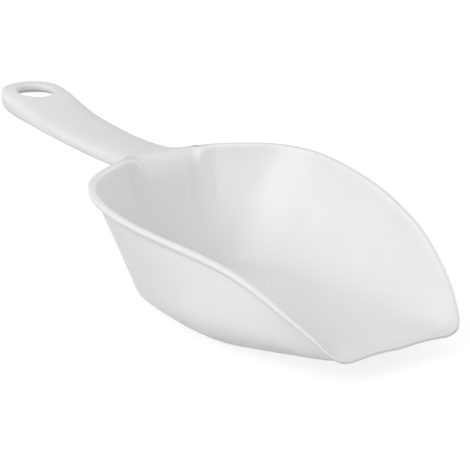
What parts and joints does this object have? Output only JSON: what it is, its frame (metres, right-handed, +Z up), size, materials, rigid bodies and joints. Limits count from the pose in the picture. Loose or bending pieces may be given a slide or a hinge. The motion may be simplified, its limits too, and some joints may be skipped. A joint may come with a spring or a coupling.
{
  "type": "ice scoop",
  "caption": "Open scoop with a deep rounded bowl, sides that run down to a straight front lip, a rim flange and an arched strap handle that ends in a hanging eye.",
  "frame": {"origin": "middle of the bounding box, on the surface that the scoop rests on", "axes": "+X from the handle to the front lip, +Y to the left across the bowl, +Z up"},
  "size_m": [0.3015, 0.13, 0.0655],
  "materials": {
    "polypropylene": "natural translucent white, satin from the mould"
  },
  "bodies": {
    "root": {"bowl_floor": "polypropylene", "front_ramp": "polypropylene", "front_lip": "polypropylene", "back_wall": "polypropylene", "left_back_corner": "polypropylene", "right_back_corner": "polypropylene", "left_side_wall": "polypropylene", "right_side_wall": "polypropylene", "left_front_wing": "polypropylene", "right_front_wing": "polypropylene", "handle_neck": "polypropylene", "handle_grip": "polypropylene", "hanging_eye": "polypropylene"}
  },
  "joints": []
}
